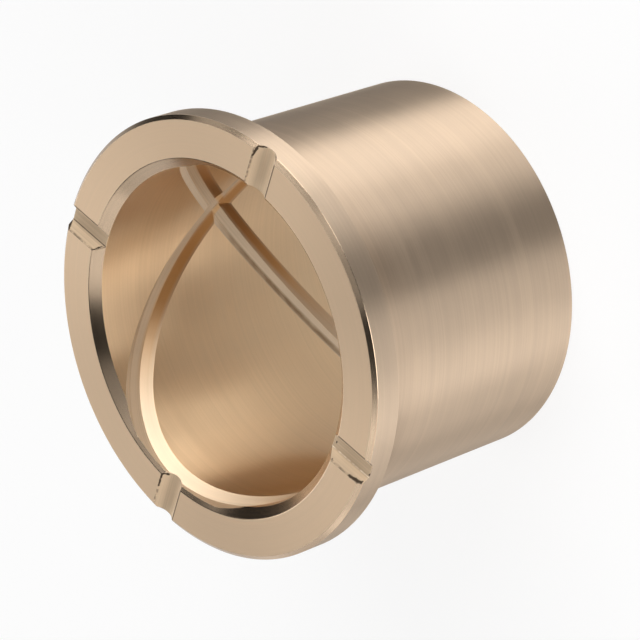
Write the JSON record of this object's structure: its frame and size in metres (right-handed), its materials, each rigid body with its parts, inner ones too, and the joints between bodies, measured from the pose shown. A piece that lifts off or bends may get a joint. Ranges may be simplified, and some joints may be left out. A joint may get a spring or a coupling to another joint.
{
  "type": "flanged bushing",
  "caption": "Flanged bronze bearing bush with a thin sleeve, radial oil grooves across the flange face and crossing oil grooves round the bore.",
  "frame": {"origin": "on the axis, in the plane of the shoulder: the underside of the flange that seats on the housing", "axes": "+Z along the bore axis, out of the flange face; the radial grooves of the flange face lie along +X, +Y, -X and -Y"},
  "size_m": [0.1046, 0.1044, 0.0725],
  "materials": {
    "bronze": "fine turned and milled bronze, satin"
  },
  "bodies": {
    "root": {"flanged_bushing": "bronze"}
  },
  "joints": []
}
